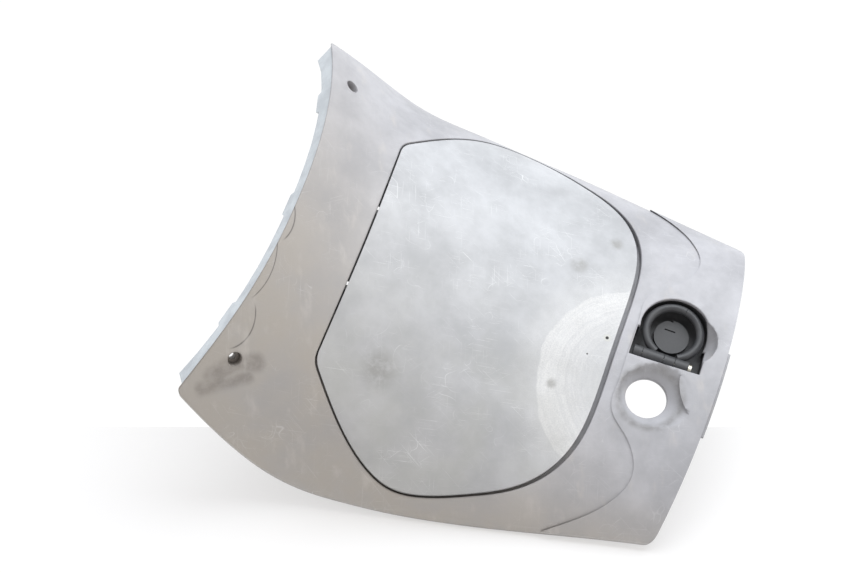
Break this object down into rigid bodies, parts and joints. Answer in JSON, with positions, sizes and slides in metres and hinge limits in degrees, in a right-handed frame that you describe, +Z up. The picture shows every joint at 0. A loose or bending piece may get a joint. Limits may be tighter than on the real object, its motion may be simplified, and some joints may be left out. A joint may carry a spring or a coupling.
{
  "type": "scooter_inner_front_panel",
  "caption": "Scooter inner front panel: grey moulded shell with a flush glovebox lid, empty lock hole and folding bag hook, used and scratched",
  "frame": {"origin": "centre of the panel's box from side to side and front to back, at the height of its lowest points, the two tips of the lower wings", "axes": "+X to the rider's right, -Y out towards the rider, +Z up the panel towards the lock and hook"},
  "size_m": [0.3626, 0.142, 0.4064],
  "materials": {
    "panel_plastic": "grey painted plastic, dulled and finely scratched",
    "lid_plastic": "grey painted plastic, many fine scratches",
    "black_plastic": "plain moulded black plastic",
    "zinc_steel": "zinc plated, slightly yellowed",
    "rubber": "soft moulded rubber"
  },
  "bodies": {
    "panel": {"inner_panel": "panel_plastic", "lid_hinge_pins": "zinc_steel", "lid_bumpers": "rubber", "glovebox_bin": "black_plastic", "bin_screws": "zinc_steel", "latch_housing": "black_plastic", "latch_screws": "zinc_steel", "latch_spring": "zinc_steel", "hook_housing": "black_plastic", "housing_screws": "zinc_steel", "hook_pin": "zinc_steel", "gate_spring": "zinc_steel"},
    "lid": {"glovebox_lid": "lid_plastic", "lid_striker": "black_plastic", "striker_screws": "zinc_steel"},
    "hook": {"hook_arm": "black_plastic"},
    "gate": {"hook_gate": "black_plastic"},
    "catch": {"latch_slide": "black_plastic"}
  },
  "joints": [
    {"name": "lid_hinge", "type": "hinge", "parent": "panel", "child": "lid", "pos_m": [0, -0.03353, 0.08309], "axis": [1, 0, 0], "range_deg": [0, 60]},
    {"name": "hook_swing", "type": "hinge", "parent": "panel", "child": "hook", "pos_m": [-0.0032, -0.00203, 0.35759], "axis": [0, 0, 1], "range_deg": [0, 83]},
    {"name": "gate_swing", "type": "hinge", "parent": "hook", "child": "gate", "pos_m": [-0.0032, -0.00203, 0.35759], "axis": [0, 0, 1], "range_deg": [0, 20], "stiffness_Nm_per_rad": 0.02, "springref_deg": -22.92},
    {"name": "catch_slide", "type": "slide", "parent": "panel", "child": "catch", "axis": [0, 0, -1], "range_m": [0, 0.0065], "stiffness_N_per_m": 150, "springref_m": 0.012}
  ]
}
